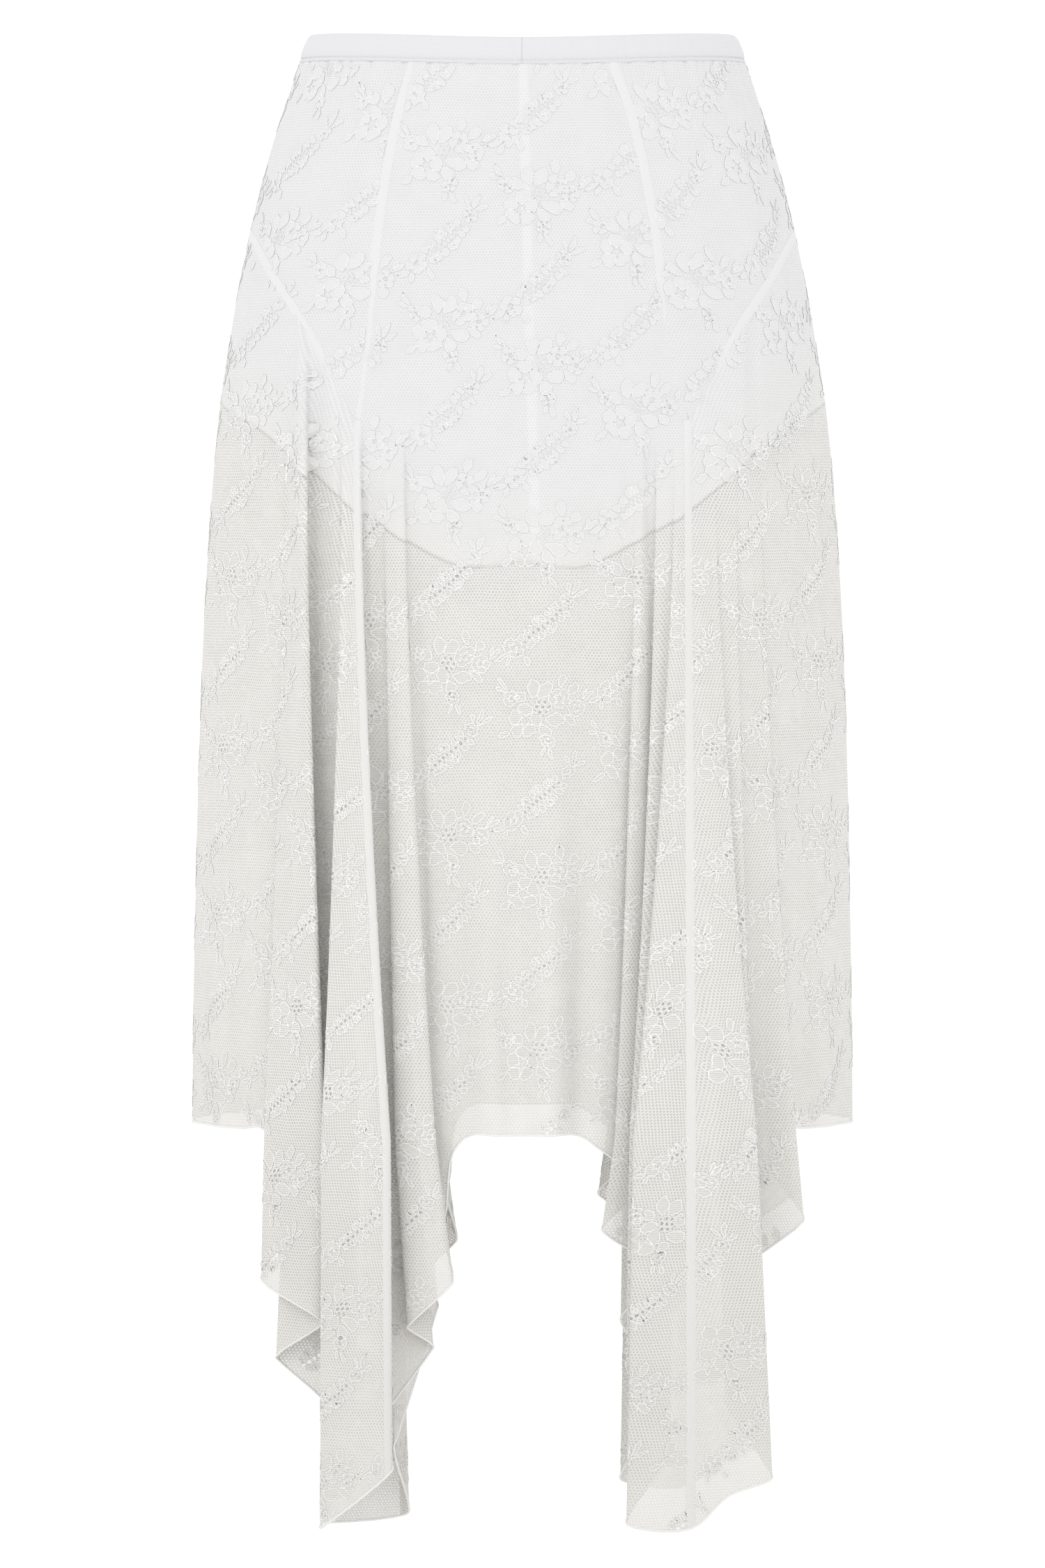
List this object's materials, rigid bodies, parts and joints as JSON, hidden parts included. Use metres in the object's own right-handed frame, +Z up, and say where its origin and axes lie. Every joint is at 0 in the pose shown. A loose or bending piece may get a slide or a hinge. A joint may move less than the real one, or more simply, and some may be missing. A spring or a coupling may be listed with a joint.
{
  "type": "handkerchief hem skirt",
  "caption": "White lace midi skirt with elastic waist, hip yokes, long handkerchief corners and short opaque lining, worn and hollow.",
  "frame": {"origin": "centre of the waist opening, level with the top of the waistband at the sides", "axes": "+X to the right as seen in the picture, -Y towards the shown side, +Z up, with the skirt hanging down along -Z"},
  "size_m": [0.4262, 0.3644, 0.9788],
  "materials": {
    "lace": "soft matt floral lace on net, off-white",
    "lining": "smooth matt white jersey",
    "waistband": "lace gathered over white elastic"
  },
  "bodies": {
    "root": {"waistband": "waistband", "front_centre": "lace", "back_centre": "lace", "side_yoke_left": "lace", "side_yoke_right": "lace", "side_panel_left": "lace", "side_panel_right": "lace", "lining_left": "lining", "lining_right": "lining"}
  },
  "joints": []
}
